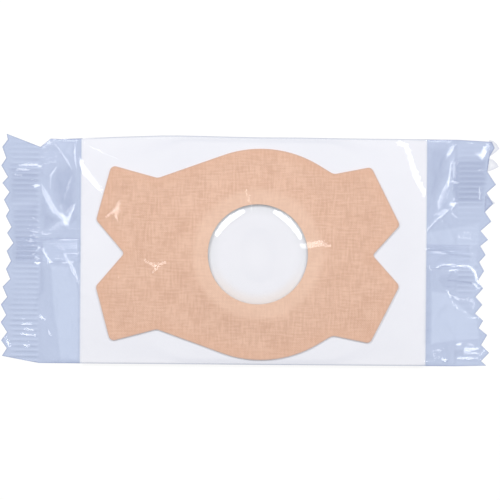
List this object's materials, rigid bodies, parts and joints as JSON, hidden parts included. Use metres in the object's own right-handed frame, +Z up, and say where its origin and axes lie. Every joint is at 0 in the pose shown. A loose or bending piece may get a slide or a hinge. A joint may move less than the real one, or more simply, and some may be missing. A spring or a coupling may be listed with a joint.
{
  "type": "adhesive eye patch",
  "caption": "Butterfly-shaped woven adhesive eye patch with a clear round window dome, on a release liner, sealed in a clear crimped pouch.",
  "frame": {"origin": "under the middle of the whole part's box, on the surface that the pouch's lap seal rests on", "axes": "+X along the pouch, towards its end with the shorter plaster wings, +Y towards the puckered corner's side edge, +Z up, the way the window faces"},
  "size_m": [0.1726, 0.081, 0.0069],
  "materials": {
    "clear_film": "clear glossy film, blue-grey where it lies double, crimped and creased at the ends",
    "liner_paper": "smooth white siliconised paper",
    "woven_plaster": "matt skin-tone plain weave",
    "clear_window": "clear glossy moulded plastic"
  },
  "bodies": {
    "root": {"film_wrapper": "clear_film", "release_liner": "liner_paper", "plaster": "woven_plaster", "window_dome": "clear_window"}
  },
  "joints": []
}
